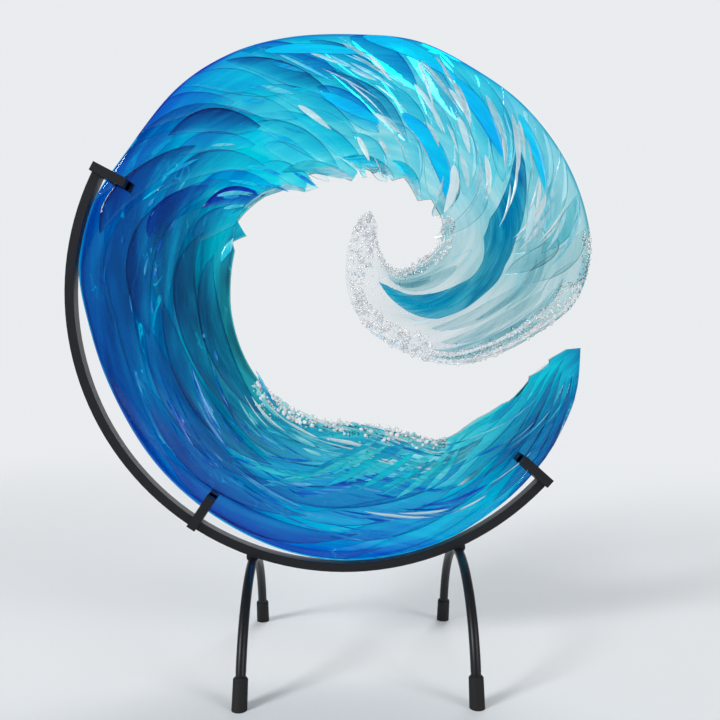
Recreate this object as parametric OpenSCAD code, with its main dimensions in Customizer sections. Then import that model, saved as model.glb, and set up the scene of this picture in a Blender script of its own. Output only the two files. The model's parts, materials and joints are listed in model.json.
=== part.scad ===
// Glass wave sculpture: a fused glass ring wave standing in a welded steel arc stand.
// Millimetres. X runs to the right, Y away from the viewer, Z up. The origin is on the floor,
// below the middle of the whole object. The glass plane is X-Z at Y = 0.

/* [Glass] */
// Radius of the round rim that the wave is cut to
glass_r = 180; // [120:1:240]
// Thickness of the backing sheets
backing_t = 3; // [2:0.5:4]
// Thickness of the flat under blades laid on the backing
under_t = 2.2; // [1:0.1:2.4]
// Edge thickness of the crowned top blades
top_edge_t = 1.2; // [0.6:0.1:1.4]
// Rise of a top blade's ridge above its edge
top_rise = 2; // [0.5:0.1:2.2]
// Radius of the largest bead of crushed glass in the foam
bead_r = 2.2; // [1.2:0.1:2.6]

/* [Blade layout] */
// Distance between two rows of blades, as a share of the width of the wave
row_pitch = 0.15; // [0.12:0.01:0.25]
// How far a top blade stands in from its neighbours, as a share of the width of the wave
blade_gap = 0.012; // [0.004:0.002:0.03]
// Length of a blade in the crest, in stations of the outline
crest_blade_len = 2.3; // [1.6:0.1:3]
// Length of a blade in the body and tail, in stations of the outline
body_blade_len = 2.9; // [2:0.1:4]
// Seed for the uneven lengths and widths of hand-cut blades
cut_seed = 11; // [1:1:99]

/* [Stand] */
// Width of the arc bar as seen from the front
bar_w = 6; // [4:0.5:10]
// Play between the glass and the tabs on each side of it
clip_play = 0.55; // [0.3:0.05:2]
// Gap between the glass rim and the bar where the glass rests
rim_gap = 0.3; // [0.2:0.05:1]
// Angle of the upper left end of the arc bar
bar_start = 152.7; // [140:0.1:170]
// Angle of the right end of the arc bar
bar_end = 318.3; // [300:0.1:330]
// Angle of the lower left pair of tabs
low_tab_angle = 236.7; // [215:0.1:250]
// Side of the square bar that the tabs are cut from
tab_w = 6.3; // [4:0.1:8]
// Length of a tab from the outside of the arc bar inwards
tab_len = 24.5; // [18:0.5:36]
// Height of the underside of the arc above the floor
bar_lift = 60; // [45:1:90]

/* [Legs] */
// Diameter of the leg rod
rod_d = 6.3; // [5:0.1:8]
// Depth by which the rod ends are dressed all round to take the foot caps
rod_dressing = 0.1; // [0.05:0.05:0.3]
// Gap between the rod and the arc bar that the weld fills
weld_gap = 0.2; // [0.1:0.05:0.4]
// Radius of the weld bead between a leg and the arc bar
weld_r = 4; // [3.2:0.1:5]
// Left leg arch, distance from the middle of the arc
left_leg_x = 62; // [40:1:90]
// Right leg arch, distance from the middle of the arc
right_leg_x = 77; // [40:1:90]
// Distance from the glass plane to the middle of a foot
foot_reach = 76; // [60:1:95]
// Length of straight leg that stands out above its foot cap
straight_spare = 2; // [1:0.5:10]
// Outside diameter of a rubber foot cap
cap_d = 9.3; // [8.5:0.1:12]
// Length of a rubber foot cap along the leg
cap_len = 18; // [12:0.5:24]
// Thickness of rubber under the end of the rod
cap_floor = 3; // [2:0.5:5]
// Play between the rod and the bore of its cap
cap_play = 0.05; // [0.02:0.01:0.1]

/* [Hidden] */
$fn = 96;

// Outline of the wave in 35 stations, from the tip of the tail clockwise round the ring to the end
// of the hook: [outer x, outer z, inner x, inner z] from the middle of the ring. The points give the
// form only: flow() scales them to glass_r.
stations = [
    [160, -35, 150, -36], [158, -62, 132, -50], [150, -86, 116, -68], [135, -112, 101, -80],
    [110, -139, 82, -90], [75, -163, 64, -98], [36, -176.3, 42, -94], [-6, -179.8, 13, -88],
    [-50, -170, -16, -85], [-95, -145, -43, -74], [-131, -110, -60, -56], [-158, -63, -71, -36],
    [-173, -18, -77, -14], [-178.8, 20, -78, 6], [-170, 59, -76, 25], [-147, 95, -71, 42],
    [-115, 136, -60, 55], [-80, 160, -43, 66], [-41, 172, -24, 75], [4, 175, -5, 78],
    [48, 171, 13, 81], [88, 152, 32, 79], [121, 128, 48, 69], [147, 95, 59, 58],
    [162, 60, 65, 49], [166, 27, 64, 38], [156, -4, 58, 29], [132, -24, 49, 22],
    [105, -39, 40, 18], [74, -47, 31, 18], [41, -39, 25, 23], [14, -22, 22, 31],
    [1, 3, 21, 40], [1, 32, 21, 48], [9, 53, 16, 57]];
last = len(stations) - 1;
drawn_r = max([for (s = stations) norm([s[0], s[1]])]);

// Where one backing sheet ends and the next begins, in stations.
tail_end = 4;
trough_end = 9;
body_end = 14;
crest_middle = 16.6;
crest_top = 18.8;
crest_end = 19;
shoulder_middle = 21.6;
shoulder_end = 24;
curl_end = 29;

// The blades run along the wave. Past crest_bend they drift inwards to the lip, and below
// tail_bend they drift inwards to the top of the tail.
crest_bend = 14.5;
crest_drift = 0.22;
tail_bend = 8;
tail_drift = 0.08;
blade_first = 0.5;
blade_last = 25.8;
tip_reach = 0.055;
rim_inset = 0.02;
rim_t = 1 - rim_inset;
joint_gap = 0.04;
joint_scatter = 0.18;
shortest_run = 1.3;
blade_steps = 9;
rows = ceil((1 + crest_drift * (blade_last - crest_bend)) / row_pitch);

// The crescent of the curl: [station, middle as a share of the width, half width]. Blades stop where
// they meet it.
crescent = [[22.4, 0.78, 0], [22.8, 0.69, 0.05], [23.4, 0.56, 0.09], [24, 0.45, 0.12], [24.7, 0.385, 0.11],
    [25.6, 0.39, 0.075], [26.5, 0.41, 0.08], [27.6, 0.41, 0.11], [28.6, 0.4, 0.13], [29.5, 0.37, 0.11],
    [30.2, 0.35, 0.06], [30.7, 0.34, 0]];
crescent_step = 0.1;
// Clear strips of the curl: [first station, last station, share of the width, half width]. Two lie
// between the crescent and the outer rim, and one between it and the inner lip.
curl_strip = [[25.98, 29, 0.62, 0.06], [25.98, 29, 0.765, 0.06], [26.2, 29.6, 0.19, 0.055]];

// Foam fields of crushed glass: [first station, last station, step, first share of the width, last
// share, step across, seed].
trough_foam = [5.4, 9.6, 0.21, 0.01, 0.08, 0.065, 1];
curl_rim_foam = [26.6, 29, 0.17, 0.87, 0.99, 0.055, 2];
hook_foam = [[29.2, 31.4, 0.2, 0.69, 0.99, 0.1, 3], [31.6, 33.6, 0.2, 0.2, 0.95, 0.15, 5]];
inner_lip_foam = [26.1, 29.4, 0.35, 0.02, 0.1, 0.07, 4];
// Blades keep off this share of the width at the lip of the trough.
trough_foam_t = 0.11;
bead_scatter = 0.1;

// Tints: 0 deep, 1 royal, 2 teal, 3 turquoise, 4 cyan, 5 aqua, 6 clear. Up to each station the blades
// take one of five tints at the inner lip, in the middle and at the outer rim.
tints = [
    [tail_end, [5, 5, 3, 3, 3], [5, 3, 3, 5, 3], [2, 2, 2, 2, 2]],
    [trough_end, [5, 5, 3, 3, 3], [3, 3, 3, 1, 1], [1, 1, 1, 1, 1]],
    [body_end, [2, 2, 2, 2, 2], [0, 0, 2, 2, 2], [0, 0, 0, 0, 0]],
    [crest_middle, [2, 2, 3, 3, 3], [0, 0, 3, 3, 3], [1, 1, 1, 1, 1]],
    [crest_top, [3, 3, 1, 4, 4], [3, 3, 1, 4, 4], [3, 3, 1, 4, 4]],
    [shoulder_middle, [4, 4, 4, 5, 6], [4, 4, 4, 5, 6], [4, 4, 4, 5, 6]],
    [len(stations), [6, 6, 4, 5, 2], [6, 6, 4, 5, 2], [6, 6, 4, 5, 2]]];
mid_from = 0.32;
outer_from = 0.6;

// The inner lip of the crest and shoulder ends in barbs: [station, share of the width].
lip = [[14.25, 0], [14.5, 0.03], [15, -0.05], [15.25, 0.06], [16.5, 0.06], [17.25, 0.03], [17.75, -0.04],
    [18, 0.07], [18.75, 0.05], [19.5, -0.03], [19.75, 0.06], [20.25, 0.02], [20.5, 0.05], [21, -0.02],
    [21.25, 0.04], [22.25, -0.04], [22.5, 0.04], [23.25, 0.02], [24, 0]];

// Depths in front of the rear face of the glass.
under_at = backing_t;
top_at = backing_t + under_t;
glass_t = top_at + top_edge_t + top_rise;
glass_back = glass_t / 2;
bar_d = glass_t + 2 * clip_play;

bar_r = glass_r + rim_gap + bar_w / 2;
bar_out_r = bar_r + bar_w / 2;
bar_in_r = bar_r - bar_w / 2;
ring_z = bar_lift + bar_out_r;
outline_step = 0.25;

// Catmull-Rom curve through four neighbouring stations.
function curve(p0, p1, p2, p3, f) =
    0.5 * (2 * p1 + (p2 - p0) * f + (2 * p0 - 5 * p1 + 4 * p2 - p3) * f * f
        + (3 * p1 - p0 - 3 * p2 + p3) * f * f * f);
function station(i) = stations[max(0, min(last, i))];
// Outer and inner point of the wave at station a. The outer one stays on or inside the round rim.
function rims(a) =
    let (i = min(floor(a), last - 1),
        r = curve(station(i - 1), station(i), station(i + 1), station(i + 2), a - i),
        k = min(1, drawn_r / norm([r[0], r[1]])))
    [r[0] * k, r[1] * k, r[2], r[3]];
// A point of the wave: a counts stations along it, t runs from the inner lip 0 to the outer rim 1.
function flow(a, t) =
    let (r = rims(a), k = glass_r / drawn_r)
    [r[2] + (r[0] - r[2]) * t, r[3] + (r[1] - r[3]) * t] * k;
function lip_t(a) = lookup(a, lip);
function backwards(list) = [for (i = [len(list) - 1 : -1 : 0]) list[i]];

glass_right = max([for (a = [0 : outline_step : last]) flow(a, 1)[0]]);
ring_x = (bar_out_r - glass_right) / 2;

// How far a row of blades has drifted inwards at station a.
function drift(a) =
    crest_drift * max(0, a - crest_bend) + tail_drift * max(0, tail_bend - a);
// Two edges of one blade, from its tail to its tip, along the row q.
function blade_edge(a0, a1, q, half, side) =
    [for (i = [0 : blade_steps])
        let (s = i / blade_steps, a = a0 + (a1 - a0) * s,
            w = half * pow(max(0, sin(180 * s)), 0.8),
            t = q - drift(a) + side * w)
        flow(a, max(-tip_reach, min(rim_t, t)))];

// Each row is cut into blades of uneven length: [first station, last station, row, half width].
function row_blades(q, from, to, long, shift, seed) =
    let (n = max(1, round((to - from) / long)), len = (to - from) / n,
        r = rands(-1, 1, 2 * n + 2, seed))
    [for (i = [0 : n - 1])
        let (a0 = from + len * (i + (i == 0 ? 0 : joint_scatter * r[i] + shift)),
            a1 = from + len * (i + 1 + (i == n - 1 ? 0 : joint_scatter * r[i + 1] + shift)))
        [a0, a1 - joint_gap, q, (row_pitch / 2 - blade_gap) * (0.92 + 0.08 * r[n + 1 + i])]];
// First and last station of the row q. It keeps off the foam of the trough and off the crescent.
function row_from(q) =
    let (inner = q - row_pitch / 2 - trough_foam_t,
        at_foam = inner < 0 ? trough_foam[1] + joint_scatter : tail_bend - inner / tail_drift)
    at_foam > trough_foam[0] ? at_foam
    : max(blade_first + (q / row_pitch % 3) * 0.3, tail_bend - (q + tip_reach) / tail_drift);
function row_to(q) = min(blade_last - (q / row_pitch % 2) * 0.4,
    crest_bend + (q + tip_reach) / crest_drift);
function crescent_t(a) = lookup(a, [for (c = crescent) [c[0], c[1]]]);
function crescent_half(a) = lookup(a, [for (c = crescent) [c[0], c[2]]]);
function crescent_stop(q) = min(concat([blade_last],
    [for (a = [crescent[0][0] : crescent_step : blade_last])
        if (abs(q - drift(a) - crescent_t(a)) < crescent_half(a) + row_pitch / 2) a]));
// Where a row beyond the rim leaves the rim below, and meets it again above.
function rim_leave(q) = tail_bend - (q - rim_t) / tail_drift;
function rim_meet(q) = crest_bend + (q - rim_t) / crest_drift;
// All blades of one layer. offset is 0.5 for the under layer and 0 for the top layer.
function layer_blades(offset, shift) =
    let (runs = [for (m = [1 : rows])
        let (q = (m - offset) * row_pitch, seed = cut_seed + 7 * m + 100 * offset,
            end = min(row_to(q), crescent_stop(q)))
        each q < rim_t - row_pitch / 3
            ? [[q, row_from(q), end, body_blade_len, seed]]
            : [[q, row_from(q), rim_leave(q), body_blade_len, seed],
                [q, rim_meet(q), end, crest_blade_len, seed + 1]]])
    [for (run = runs)
        if (run[2] - run[1] > shortest_run)
            each row_blades(run[0], run[1], run[2], run[3], shift, run[4])];
under_blades = layer_blades(0.5, 0.12);
top_blades = layer_blades(0, -0.12);

// Tint of a blade from its place, picked unevenly.
function blade_tint(b) =
    let (a = (b[0] + b[1]) / 2, t = b[2] - drift(a), pick = floor(b[2] * 37 + b[0] * 5) % 5,
        zone = [for (z = tints) if (a < z[0]) z][0])
    zone[t < mid_from ? 1 : t < outer_from ? 2 : 3][pick];

blade_colours = ["#0b3f9c", "#0a63c4", "#0a7f96", "#0aa5c2", "#12c0ee", "#8fe3ee", "#d9eef2"];
steel_colour = "#16171b";
rubber_colour = "#0e0e10";

// Puts a drawing of the glass plane upright, with its height towards the viewer.
module upright() {
    translate([ring_x, 0, ring_z])
        rotate([90, 0, 0])
            children();
}

// A plate cut to the points of the wave, laid at a depth in front of the rear face of the glass.
module plate(points, at, thick) {
    upright()
        translate([0, 0, at - glass_back])
            linear_extrude(thick)
                polygon(points);
}

// Crowned blades have a thin edge all round and a ridge along the middle. The points of one blade
// are the bottom ring, the ring on top of the edge, and the ridge.
ring_n = 2 * blade_steps;
blade_n = 2 * ring_n + blade_steps - 1;
function blade_ring(b) =
    concat(blade_edge(b[0], b[1], b[2], b[3], 1),
        backwards([for (i = [1 : blade_steps - 1]) blade_edge(b[0], b[1], b[2], b[3], -1)[i]]));
function crowned_points(b) =
    let (ring = blade_ring(b))
    concat([for (p = ring) [p[0], p[1], 0]], [for (p = ring) [p[0], p[1], top_edge_t]],
        [for (i = [1 : blade_steps - 1])
            let (p = (ring[i] + ring[ring_n - i]) / 2)
            [p[0], p[1], top_edge_t + top_rise * sin(180 * i / blade_steps)]]);
// Index of a point on the ridge and on the lower side of the top ring, both counted from the tail.
function on_ridge(i) = i == 0 ? ring_n : i == blade_steps ? ring_n + blade_steps : 2 * ring_n + i - 1;
function on_low(i) = ring_n + (ring_n - i) % ring_n;
function crowned_faces() =
    concat([[0, ring_n - 1, 1], [blade_steps + 1, blade_steps, blade_steps - 1]],
        [for (i = [1 : blade_steps - 2]) [ring_n - i, ring_n - i - 1, i + 1, i]],
        [for (i = [0 : ring_n - 1]) [i, (i + 1) % ring_n, ring_n + (i + 1) % ring_n, ring_n + i]],
        [for (i = [0 : blade_steps - 1]) each [
            if (i < blade_steps - 1) [ring_n + i, ring_n + i + 1, on_ridge(i + 1)],
            if (i < blade_steps - 1) [on_low(i), on_ridge(i + 1), on_low(i + 1)],
            if (i > 0) [ring_n + i, on_ridge(i + 1), on_ridge(i)],
            if (i > 0) [on_low(i), on_ridge(i), on_ridge(i + 1)]]]);

module backing(first, end, tint) {
    stops = [for (a = [first : outline_step : end]) a];
    color(tint)
        plate(concat([for (a = stops) flow(a, 1)], backwards([for (a = stops) flow(a, lip_t(a))])),
            0, backing_t);
}

module under_group(tint) {
    color(blade_colours[tint])
        for (b = under_blades)
            if (blade_tint(b) == tint)
                plate(blade_ring(b), under_at, under_t);
}

module top_group(tint) {
    chosen = [for (b = top_blades) if (blade_tint(b) == tint) b];
    color(blade_colours[tint])
        upright()
            translate([0, 0, top_at - glass_back])
                polyhedron([for (b = chosen) each crowned_points(b)],
                    [for (k = [0 : len(chosen) - 1], f = crowned_faces()) f + [for (i = f) k * blade_n]]);
}

module arc_bar() {
    color(steel_colour)
        upright()
            rotate([0, 0, bar_start])
                rotate_extrude(angle = bar_end - bar_start, $fn = 240)
                    translate([bar_in_r, -bar_d / 2])
                        square([bar_w, bar_d]);
}

// A square tab welded on a face of the arc bar. side is 1 in front of the glass and -1 behind it,
// and turn is the share of its width by which the tab lies past the angle.
module tab(angle, turn, side) {
    color(steel_colour)
        upright()
            rotate([0, 0, angle])
                translate([bar_out_r - tab_len, tab_w * (turn - 0.5),
                    side > 0 ? bar_d / 2 : -bar_d / 2 - tab_w])
                    cube([tab_len, tab_w, tab_w]);
}

// The rod lies close under the arc bar: its middle line there is this high.
function under_bar(x, gap) = ring_z - sqrt(pow(bar_out_r + gap, 2) - x * x);
function rod_top(x) = under_bar(x, weld_gap + rod_d / 2);
// Lean of a leg end from the vertical, so that one round bend joins both straight ends at the top.
leg_end = cap_len + straight_spare;
rod_end_d = rod_d - 2 * rod_dressing;
rod_end_root = 1;
function lean(x) = 2 * atan((foot_reach + leg_end) / rod_top(x)) - 90;
function bend_r(x) = (rod_top(x) - leg_end * cos(lean(x))) / (1 - sin(lean(x)));

// One round rod bent to an arch. Its two straight ends stop inside the foot caps.
module leg_arch(x) {
    top = rod_top(x);
    r = bend_r(x);
    end_lean = lean(x);
    color(steel_colour)
        translate([ring_x + x, 0, top - r]) {
            rotate([90, 0, 90])
                rotate([0, 0, end_lean])
                    rotate_extrude(angle = 180 - 2 * end_lean, $fn = 180)
                        translate([r, 0])
                            circle(d = rod_d, $fn = 48);
            for (side = [-1, 1])
                rotate([side * (90 - end_lean), 0, 0])
                    translate([0, 0, r])
                        rotate([side * 90, 0, 0])
                            translate([0, 0, -rod_end_root])
                                cylinder(d = rod_end_d, h = rod_end_root + leg_end - cap_floor,
                                    $fn = 48);
        }
    leg_weld(x);
}

// The weld bead that fills the corners between the rod and the underside of the arc bar.
module leg_weld(x) {
    color(steel_colour)
        difference() {
            translate([ring_x + x, 0, under_bar(x, 0)])
                rotate([90, 0, 0])
                    cylinder(r = weld_r, h = bar_d, center = true, $fn = 48);
            translate([ring_x, 0, ring_z])
                rotate([90, 0, 0])
                    cylinder(r = bar_out_r, h = 2 * bar_d, center = true, $fn = 240);
        }
}

// A rubber cap pushed on a rod end, pressed flat where it stands on the floor.
module foot_cap(x, side) {
    lip = 1.2;
    color(rubber_colour)
        intersection() {
            translate([ring_x + x, side * foot_reach, 0])
                rotate([side * lean(x), 0, 0])
                    difference() {
                        rotate_extrude($fn = 64)
                            polygon([[0, -cap_floor], [cap_d / 2, -cap_floor],
                                [cap_d / 2 - 0.2, cap_len - lip], [cap_d / 2 - lip, cap_len],
                                [0, cap_len]]);
                        translate([0, 0, cap_floor])
                            cylinder(d = rod_end_d + 2 * cap_play, h = cap_len, $fn = 64);
                    }
            translate([ring_x + x - cap_d, side * foot_reach - cap_len, 0])
                cube([2 * cap_d, 2 * cap_len, 2 * cap_len]);
        }
}

// A long strip of the wave, from its points [station, share of the width, half width].
module strip(points) {
    n = len(points) - 1;
    plate(concat([for (p = points) flow(p[0], p[1] + p[2])],
        backwards([for (i = [1 : n - 1]) flow(points[i][0], points[i][1] - points[i][2])])),
        under_at, under_t);
}

// The teal streak that follows the curl round to the hook.
module curl_crescent() {
    color(blade_colours[2])
        strip([for (a = [crescent[0][0] : crescent_step : crescent[len(crescent) - 1][0]])
            [a, crescent_t(a), crescent_half(a)]]);
}

// Clear strips with quickly widening ends.
strip_steps = 12;
module curl_strips() {
    color(blade_colours[6])
        for (c = curl_strip)
            strip([for (i = [0 : strip_steps])
                let (s = i / strip_steps)
                [c[0] + (c[1] - c[0]) * s, c[2], c[3] * sqrt(max(0, sin(180 * s)))]]);
}

// One bead of crushed glass melted to a dome on the backing.
module bead(a, t, r) {
    p = flow(a, t);
    upright()
        translate([p[0], p[1], under_at - glass_back])
            rotate_extrude($fn = 24)
                intersection() {
                    circle(r);
                    square(r);
                }
}

// A field of beads in nearly even steps along the wave and across it, with uneven sizes.
module foam(f) {
    color(blade_colours[6])
        for (a = [f[0] : f[2] : f[1]], t = [f[3] : f[5] : f[4]])
            let (r = rands(-1, 1, 3, f[6] + floor(a * 100) + floor(t * 1000)))
                bead(a + f[2] * bead_scatter * r[0], t + f[5] * bead_scatter * r[1],
                    bead_r * (0.8 + 0.2 * r[2]));
}

arc_bar();
tab(bar_start, 0.5, 1);  // front_tab_upper_left
tab(bar_start, 0.5, -1);  // rear_tab_upper_left
tab(low_tab_angle, 0, 1);  // front_tab_lower_left
tab(low_tab_angle, 0, -1);  // rear_tab_lower_left
tab(bar_end, -0.5, 1);  // front_tab_right
tab(bar_end, -0.5, -1);  // rear_tab_right
leg_arch(-left_leg_x);  // left_leg_arch
leg_arch(right_leg_x);  // right_leg_arch
foot_cap(-left_leg_x, -1);  // front_left_foot_cap
foot_cap(-left_leg_x, 1);  // rear_left_foot_cap
foot_cap(right_leg_x, -1);  // front_right_foot_cap
foot_cap(right_leg_x, 1);  // rear_right_foot_cap
backing(0, tail_end, blade_colours[2]);  // backing_tail
backing(tail_end, trough_end, blade_colours[1]);  // backing_trough
backing(trough_end, body_end, blade_colours[0]);  // backing_body
backing(body_end, crest_end, blade_colours[1]);  // backing_crest
backing(crest_end, shoulder_end, blade_colours[3]);  // backing_shoulder
backing(shoulder_end, curl_end, blade_colours[6]);  // backing_curl
backing(curl_end, last, blade_colours[6]);  // backing_hook
under_group(0);  // under_blades_deep
under_group(1);  // under_blades_royal
under_group(2);  // under_blades_teal
under_group(3);  // under_blades_turquoise
under_group(4);  // under_blades_cyan
under_group(5);  // under_blades_aqua
under_group(6);  // under_blades_clear
top_group(0);  // top_blades_deep
top_group(1);  // top_blades_royal
top_group(2);  // top_blades_teal
top_group(3);  // top_blades_turquoise
top_group(4);  // top_blades_cyan
top_group(5);  // top_blades_aqua
top_group(6);  // top_blades_clear
curl_crescent();
curl_strips();
foam(trough_foam);  // foam_trough
foam(curl_rim_foam);  // foam_curl_rim
for (f = hook_foam)  // foam_hook
        foam(f);
foam(inner_lip_foam);  // foam_inner_lip
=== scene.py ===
# %% [markdown]
# # A glass wave in a steel arc stand
#
# The object is a ring wave of fused glass that stands in a welded steel cradle. The steel comes from
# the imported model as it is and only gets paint. The glass is made here: a backing sheet, two layers
# of cut blades laid like feathers along the flow of the wave, small leaves, shards and streaks on top
# of them, long strips in the curl, and foam of crushed glass. Everything is in metres, with Z up and
# the glass plane facing -Y.

# %% Load the frame
import json
import math
import random

import bmesh
import bpy
from mathutils import Matrix, Vector


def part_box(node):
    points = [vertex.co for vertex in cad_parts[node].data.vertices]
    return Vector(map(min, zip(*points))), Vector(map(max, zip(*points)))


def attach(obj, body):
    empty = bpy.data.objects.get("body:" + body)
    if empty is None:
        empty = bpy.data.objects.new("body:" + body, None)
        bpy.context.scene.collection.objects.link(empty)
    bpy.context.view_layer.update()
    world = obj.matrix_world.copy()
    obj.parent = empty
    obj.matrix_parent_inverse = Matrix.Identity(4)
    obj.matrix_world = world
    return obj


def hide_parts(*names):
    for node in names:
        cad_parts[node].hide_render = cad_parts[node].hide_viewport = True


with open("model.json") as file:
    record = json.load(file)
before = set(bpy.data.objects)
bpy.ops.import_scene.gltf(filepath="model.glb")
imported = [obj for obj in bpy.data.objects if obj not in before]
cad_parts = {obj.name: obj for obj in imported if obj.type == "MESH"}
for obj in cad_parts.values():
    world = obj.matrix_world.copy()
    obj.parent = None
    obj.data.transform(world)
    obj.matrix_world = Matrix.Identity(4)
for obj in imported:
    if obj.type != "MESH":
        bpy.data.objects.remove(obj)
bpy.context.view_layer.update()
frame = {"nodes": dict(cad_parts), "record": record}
nodes = frame["nodes"]
MM = 0.001
print("pieces of the packed model:", len(nodes))

# %% [markdown]
# ## The camera
#
# The photograph is taken from the height of the glass, about half a metre away, with a wide lens.
# The camera looks a little to the right and down. Its three axes are written as one matrix, so that
# the small roll is exact.

# %% Set up the camera
CAMERA_AT = Vector((3.4, -539.6, 211.3)) * MM
VIEW_ANGLE = math.radians(48.46)
PAN = math.radians(1.71)
TILT = math.radians(0.94)
ROLL = math.radians(-0.27)

ahead = Vector((math.sin(PAN) * math.cos(TILT), math.cos(PAN) * math.cos(TILT), -math.sin(TILT)))
level_right = Vector((math.cos(PAN), -math.sin(PAN), 0))
level_up = level_right.cross(ahead)
right = level_right * math.cos(ROLL) - level_up * math.sin(ROLL)
up = level_right * math.sin(ROLL) + level_up * math.cos(ROLL)
turn = Matrix((right, up, -ahead)).transposed()

lens = bpy.data.cameras.new("camera")
lens.sensor_fit = "HORIZONTAL"
lens.angle = VIEW_ANGLE
lens.clip_start = 0.01
camera = bpy.data.objects.new("camera", lens)
camera.matrix_world = Matrix.Translation(CAMERA_AT) @ turn.to_4x4()
bpy.context.scene.collection.objects.link(camera)
bpy.context.scene.camera = camera
print("camera at", [round(c, 3) for c in CAMERA_AT], "looking", [round(c, 3) for c in ahead])

# %% [markdown]
# ## The shape of the wave
#
# A wave that curls back on itself is hard to draw with x and z. It is easier to give each point two
# other numbers: how far along the wave it lies, from the tip of the tail round to the hook, and how
# far across, from the inner lip at 0 to the outer rim at 1. Thirty-five pairs of points on the rim and
# the lip, joined by smooth curves, turn these two numbers into a place. All glass is laid out so.

# %% Map the wave
# From the middle of the ring to the outside of the arc bar.
BAR_OUTSIDE = 186.3 * MM
bar_low, bar_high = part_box("arc_bar")
RING = Vector((bar_low.x + BAR_OUTSIDE, 0, bar_low.z + BAR_OUTSIDE))

# Outer x and z, inner x and z, in millimetres from the middle of the ring.
STATIONS = [
    (160, -35, 150, -36), (158, -62, 132, -50), (150, -86, 116, -68), (135, -112, 101, -80),
    (110, -139, 82, -90), (75, -163, 64, -98), (36, -176.3, 42, -94), (-6, -179.8, 13, -88),
    (-50, -170, -16, -85), (-95, -145, -43, -74), (-131, -110, -60, -56), (-158, -63, -71, -36),
    (-173, -18, -77, -14), (-178.8, 20, -78, 6), (-170, 59, -76, 25), (-147, 95, -71, 42),
    (-115, 136, -60, 55), (-80, 160, -43, 66), (-41, 172, -24, 75), (4, 175, -5, 78),
    (48, 171, 13, 81), (88, 152, 32, 79), (121, 128, 48, 69), (147, 95, 59, 58),
    (162, 60, 65, 49), (166, 27, 64, 38), (156, -4, 58, 29), (132, -24, 49, 22),
    (105, -39, 40, 18), (74, -47, 31, 18), (41, -39, 25, 23), (14, -22, 22, 31),
    (1, 3, 21, 40), (1, 32, 21, 48), (9, 53, 16, 57)]
LAST = len(STATIONS) - 1


def blend_four(p0, p1, p2, p3, f):
    """A smooth curve through four neighbouring numbers, at the share f between the middle two."""
    return 0.5 * (2 * p1 + (p2 - p0) * f + (2 * p0 - 5 * p1 + 4 * p2 - p3) * f ** 2
                  + (3 * p1 - p0 - 3 * p2 + p3) * f ** 3)


RIM_RADIUS = max(math.hypot(row[0], row[1]) for row in STATIONS)


def rims(a):
    """Outer x, z and inner x, z of the wave at station a. The outer point stays inside the round rim."""
    i = max(0, min(int(math.floor(a)), LAST - 1))
    near = [STATIONS[max(0, min(LAST, k))] for k in range(i - 1, i + 3)]
    out_x, out_z, in_x, in_z = (blend_four(*(row[axis] for row in near), a - i) for axis in range(4))
    inside = min(1, RIM_RADIUS / math.hypot(out_x, out_z))
    return out_x * inside, out_z * inside, in_x, in_z


def flow(a, t, depth):
    """The place of station a, share t across, and depth in metres towards the back."""
    out_x, out_z, in_x, in_z = rims(a)
    return Vector((RING.x + (in_x + (out_x - in_x) * t) * MM, depth,
                   RING.z + (in_z + (out_z - in_z) * t) * MM))


def width(a):
    """Distance from the lip to the rim at station a, in metres."""
    out_x, out_z, in_x, in_z = rims(a)
    return math.hypot(out_x - in_x, out_z - in_z) * MM


# How far along the middle of the wave each station lies, in metres.
along = [0.0]
for station in range(LAST):
    along.append(along[-1] + (flow(station + 1, 0.5, 0) - flow(station, 0.5, 0)).length)


def run(a):
    """Length of the middle of the wave up to station a, in metres."""
    i = max(0, min(int(math.floor(a)), LAST - 1))
    return along[i] + (along[i + 1] - along[i]) * (a - i)


glass_front, glass_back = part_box("backing_body")[0].y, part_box("backing_body")[1].y
print(f"ring centre {RING.x:.4f} {RING.z:.4f}, wave {along[-1]:.3f} m long,",
      f"backing from {glass_front:.4f} to {glass_back:.4f}")

# %% [markdown]
# ## The colours of the wave
#
# Stained glass gets its colour from the light that comes through it. The colour that shows is given
# here by place: for a few stations, the colour at the lip, in the middle and at the rim. In between
# the colours blend. Cobalt lies low and outside, turquoise and cyan on top, and the curl is clear.

# %% Paint the plan
def srgb(r, g, b):
    """A colour given from 0 to 255, as linear light."""
    return tuple(c / 12.92 if c <= 0.04045 else ((c + 0.055) / 1.055) ** 2.4
                 for c in (r / 255, g / 255, b / 255))


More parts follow.
